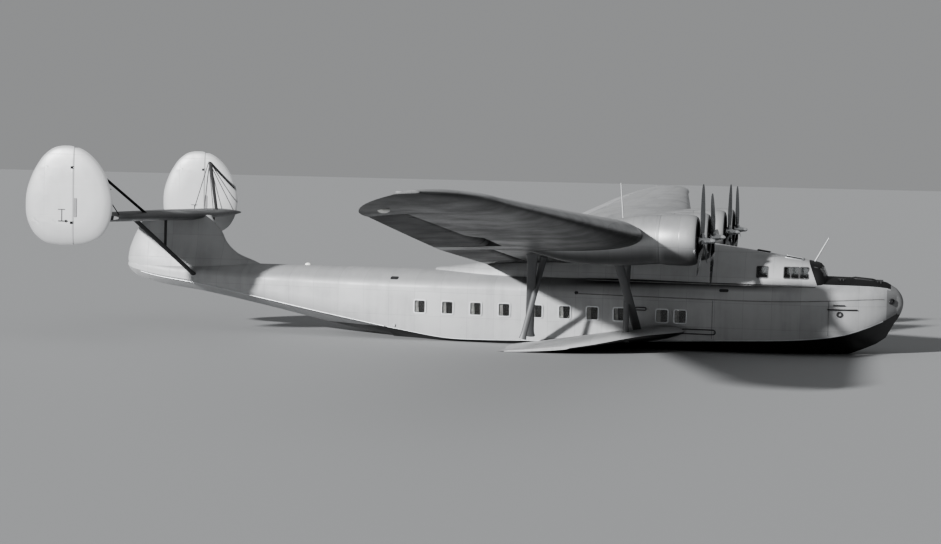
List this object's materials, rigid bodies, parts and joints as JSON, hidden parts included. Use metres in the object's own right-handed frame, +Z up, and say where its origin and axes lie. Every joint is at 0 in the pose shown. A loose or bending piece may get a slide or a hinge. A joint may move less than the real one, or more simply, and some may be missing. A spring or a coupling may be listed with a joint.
{
  "type": "four-engined flying boat, 1:2 scale model",
  "caption": "High-wing monoplane flying boat with a stepped hull, side sponsons braced to the wing, wing-mounted radial engines and twin tail fins; a 1:2 scale model afloat.",
  "frame": {"origin": "on the waterline, on the centreline, at the main step", "axes": "+X to the bow, +Y to port, +Z up"},
  "size_m": [14.12, 23.925, 3.58],
  "materials": {
    "hull_skin": "aluminium lacquer above, black below the chine",
    "airframe_skin": "bare riveted sheet, semi-matt",
    "sponson_skin": "aluminium lacquer on top, black underside",
    "engine_metal": "dark enamel and cast metal",
    "propeller_metal": "polished, dark backs",
    "mast_metal": "light paint"
  },
  "bodies": {
    "airframe": {"cowling_port_inner": "airframe_skin", "cowling_port_outer": "airframe_skin", "cowling_starboard_inner": "airframe_skin", "cowling_starboard_outer": "airframe_skin", "engine_port_inner": "engine_metal", "engine_port_outer": "engine_metal", "engine_starboard_inner": "engine_metal", "engine_starboard_outer": "engine_metal", "fin_port": "airframe_skin", "fin_starboard": "airframe_skin", "hull": "hull_skin", "mast_cockpit": "mast_metal", "mast_wing": "mast_metal", "nacelle_port_inner": "airframe_skin", "nacelle_port_outer": "airframe_skin", "nacelle_starboard_inner": "airframe_skin", "nacelle_starboard_outer": "airframe_skin", "sponson_port": "sponson_skin", "sponson_starboard": "sponson_skin", "strut_front_port": "airframe_skin", "strut_front_starboard": "airframe_skin", "strut_rear_port": "airframe_skin", "strut_rear_starboard": "airframe_skin", "superstructure": "airframe_skin", "tail_pylon": "airframe_skin", "tail_strut_lower_port": "airframe_skin", "tail_strut_lower_starboard": "airframe_skin", "tail_strut_upper_port": "airframe_skin", "tail_strut_upper_starboard": "airframe_skin", "tailplane": "airframe_skin", "wing_centre": "airframe_skin", "wing_outer_port": "airframe_skin", "wing_outer_starboard": "airframe_skin"},
    "aileron_port": {"aileron_port": "airframe_skin"},
    "aileron_starboard": {"aileron_starboard": "airframe_skin"},
    "elevator_port": {"elevator_port": "airframe_skin"},
    "elevator_starboard": {"elevator_starboard": "airframe_skin"},
    "flap_port": {"flap_port": "airframe_skin"},
    "flap_starboard": {"flap_starboard": "airframe_skin"},
    "propeller_port_inner": {"propeller_port_inner": "propeller_metal"},
    "propeller_port_outer": {"propeller_port_outer": "propeller_metal"},
    "propeller_starboard_inner": {"propeller_starboard_inner": "propeller_metal"},
    "propeller_starboard_outer": {"propeller_starboard_outer": "propeller_metal"},
    "roof_hatch": {"roof_hatch": "airframe_skin"},
    "rudder_port": {"rudder_port": "airframe_skin"},
    "rudder_starboard": {"rudder_starboard": "airframe_skin"}
  },
  "joints": [
    {"name": "propeller_port_outer_spin", "type": "hinge", "parent": "airframe", "child": "propeller_port_outer", "pos_m": [2.77, 3.405, 1.91], "axis": [1, 0, 0], "continuous": true},
    {"name": "propeller_port_inner_spin", "type": "hinge", "parent": "airframe", "child": "propeller_port_inner", "pos_m": [2.77, 1.51, 1.91], "axis": [1, 0, 0], "continuous": true},
    {"name": "propeller_starboard_inner_spin", "type": "hinge", "parent": "airframe", "child": "propeller_starboard_inner", "pos_m": [2.77, -1.51, 1.91], "axis": [1, 0, 0], "continuous": true},
    {"name": "propeller_starboard_outer_spin", "type": "hinge", "parent": "airframe", "child": "propeller_starboard_outer", "pos_m": [2.77, -3.405, 1.91], "axis": [1, 0, 0], "continuous": true},
    {"name": "flap_port_hinge", "type": "hinge", "parent": "airframe", "child": "flap_port", "pos_m": [-0.575, 0.95, 1.50782], "axis": [0, 0.9946, 0.104], "range_deg": [-35, 0]},
    {"name": "flap_starboard_hinge", "type": "hinge", "parent": "airframe", "child": "flap_starboard", "pos_m": [-0.575, -0.95, 1.50782], "axis": [0, 0.9946, -0.104], "range_deg": [-35, 0]},
    {"name": "aileron_port_hinge", "type": "hinge", "parent": "airframe", "child": "aileron_port", "pos_m": [-0.375, 4.5, 1.89755], "axis": [0.0436, 0.9952, 0.0876], "range_deg": [-20, 20]},
    {"name": "aileron_starboard_hinge", "type": "hinge", "parent": "airframe", "child": "aileron_starboard", "pos_m": [-0.375, -4.5, 1.89755], "axis": [-0.0436, 0.9952, -0.0876], "range_deg": [-20, 20]},
    {"name": "elevator_port_hinge", "type": "hinge", "parent": "airframe", "child": "elevator_port", "pos_m": [-7.475, 1.4, 1.98], "axis": [0, 1, 0], "range_deg": [-20, 25]},
    {"name": "elevator_starboard_hinge", "type": "hinge", "parent": "airframe", "child": "elevator_starboard", "pos_m": [-7.475, -1.4, 1.98], "axis": [0, 1, 0], "range_deg": [-20, 25]},
    {"name": "rudder_port_hinge", "type": "hinge", "parent": "airframe", "child": "rudder_port", "pos_m": [-7.51, 3.04, 2.26], "axis": [0, 0, 1], "range_deg": [-25, 25]},
    {"name": "rudder_starboard_hinge", "type": "hinge", "parent": "airframe", "child": "rudder_starboard", "pos_m": [-7.51, -3.04, 2.26], "axis": [0, 0, 1], "range_deg": [-25, 25]},
    {"name": "roof_hatch_hinge", "type": "hinge", "parent": "airframe", "child": "roof_hatch", "pos_m": [3.5837, 0, 1.6498], "axis": [0, 1, 0], "range_deg": [0, 100]}
  ],
  "couplings": [
    {"joint": "flap_starboard_hinge", "follows": "flap_port_hinge", "ratio": 1},
    {"joint": "aileron_starboard_hinge", "follows": "aileron_port_hinge", "ratio": -1},
    {"joint": "elevator_starboard_hinge", "follows": "elevator_port_hinge", "ratio": 1},
    {"joint": "rudder_starboard_hinge", "follows": "rudder_port_hinge", "ratio": 1}
  ]
}
